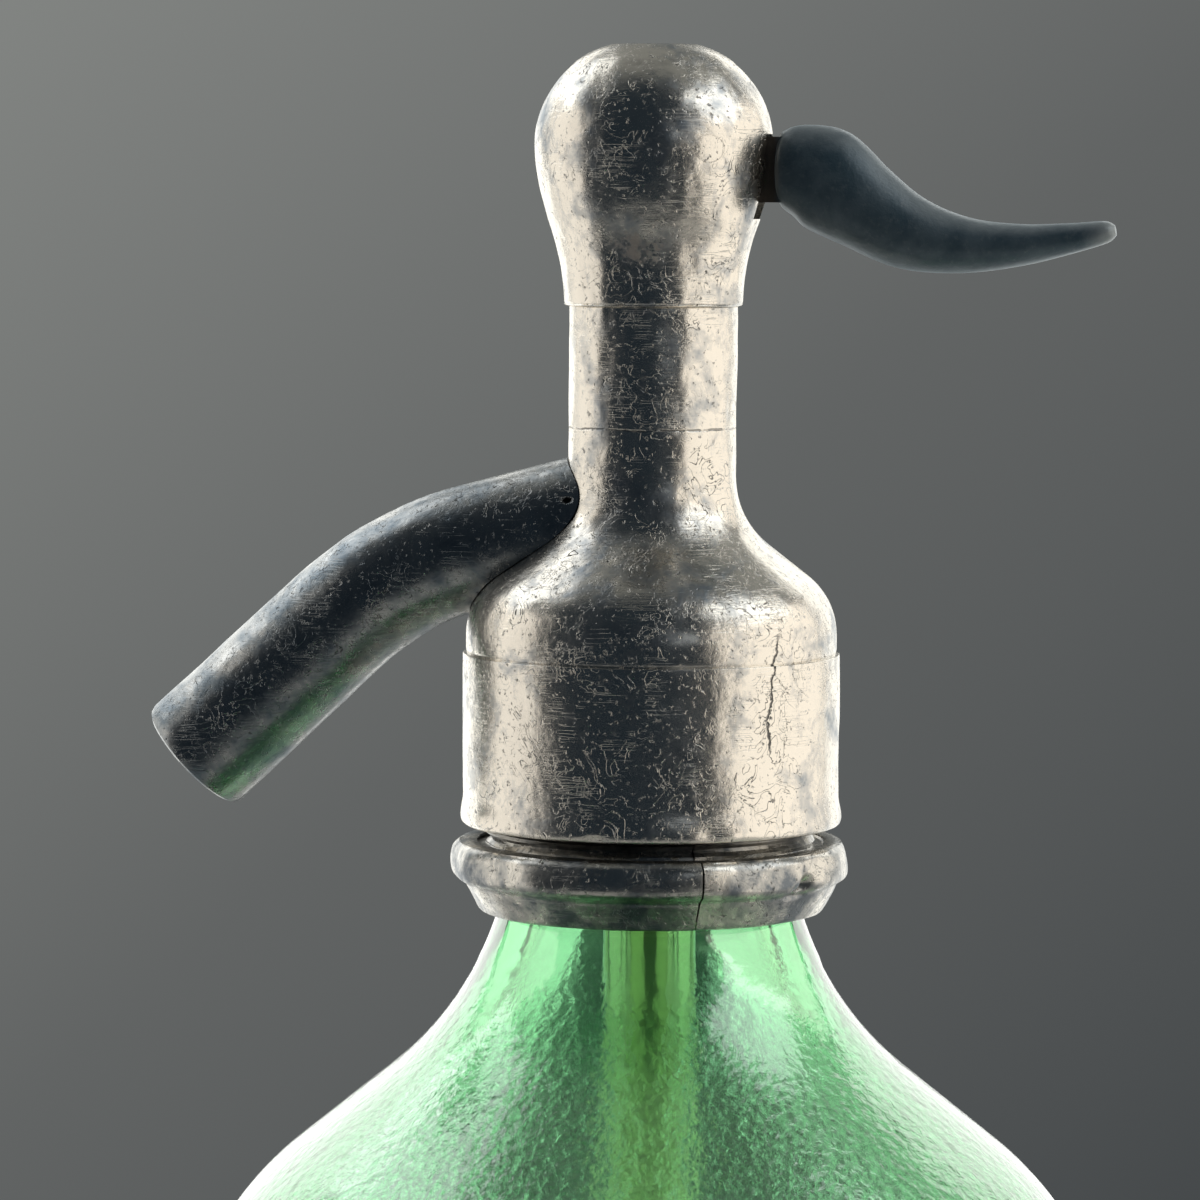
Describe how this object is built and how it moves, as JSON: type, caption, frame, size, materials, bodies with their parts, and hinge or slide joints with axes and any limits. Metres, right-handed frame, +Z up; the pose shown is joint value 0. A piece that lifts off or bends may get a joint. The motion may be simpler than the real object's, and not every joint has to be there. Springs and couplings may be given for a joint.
{
  "type": "soda siphon",
  "caption": "Soda siphon: thick green glass bottle with a threaded collar, cast head with a down-turned spout, and a short horn-shaped lever that lifts a sprung valve.",
  "frame": {"origin": "centre of the bottle's foot ring, on the surface it stands on", "axes": "+Z up along the bottle's axis, +X towards the lever's tip, -X towards the spout"},
  "size_m": [0.1136, 0.11, 0.3148],
  "materials": {
    "green_glass": "thick green glass, smooth at the neck and pebbled below",
    "tube_glass": "clear glass with a yellow green tint",
    "pewter": "aged cast tin alloy, mottled, scratched",
    "dark_lever": "dark patina, pale worn edges",
    "steel": "dull, filed flush",
    "spring_steel": "plain wire",
    "brass": "turned",
    "rubber": "matt"
  },
  "bodies": {
    "base": {"glass_bottle": "green_glass", "dip_tube": "tube_glass", "collar_half_left": "pewter", "collar_half_right": "pewter", "head_body": "pewter", "spout": "pewter", "lever_housing": "pewter", "pivot_pin": "steel", "valve_seat": "brass", "guide_bush": "brass", "tube_holder": "brass", "return_spring": "spring_steel", "collar_liner": "rubber", "neck_gasket": "rubber", "dip_tube_bush": "rubber"},
    "lever": {"lever": "dark_lever"},
    "valve": {"rod_stirrup": "brass", "stirrup_nut": "brass", "valve_rod": "brass", "piston": "brass", "piston_packing": "rubber", "washer_retainer": "brass", "valve_washer": "rubber"}
  },
  "joints": [
    {"name": "lever_press", "type": "hinge", "parent": "base", "child": "lever", "pos_m": [0.008, 0, 0.30299], "axis": [0, 1, 0], "range_deg": [0, 14], "stiffness_Nm_per_rad": 0.5, "springref_deg": -45.84},
    {"name": "valve_lift", "type": "slide", "parent": "base", "child": "valve", "axis": [0, 0, 1], "range_m": [0, 0.00196], "deforming": ["return_spring"]}
  ],
  "couplings": [
    {"joint": "valve_lift", "follows": "lever_press", "m_per_rad": 0.00795}
  ]
}
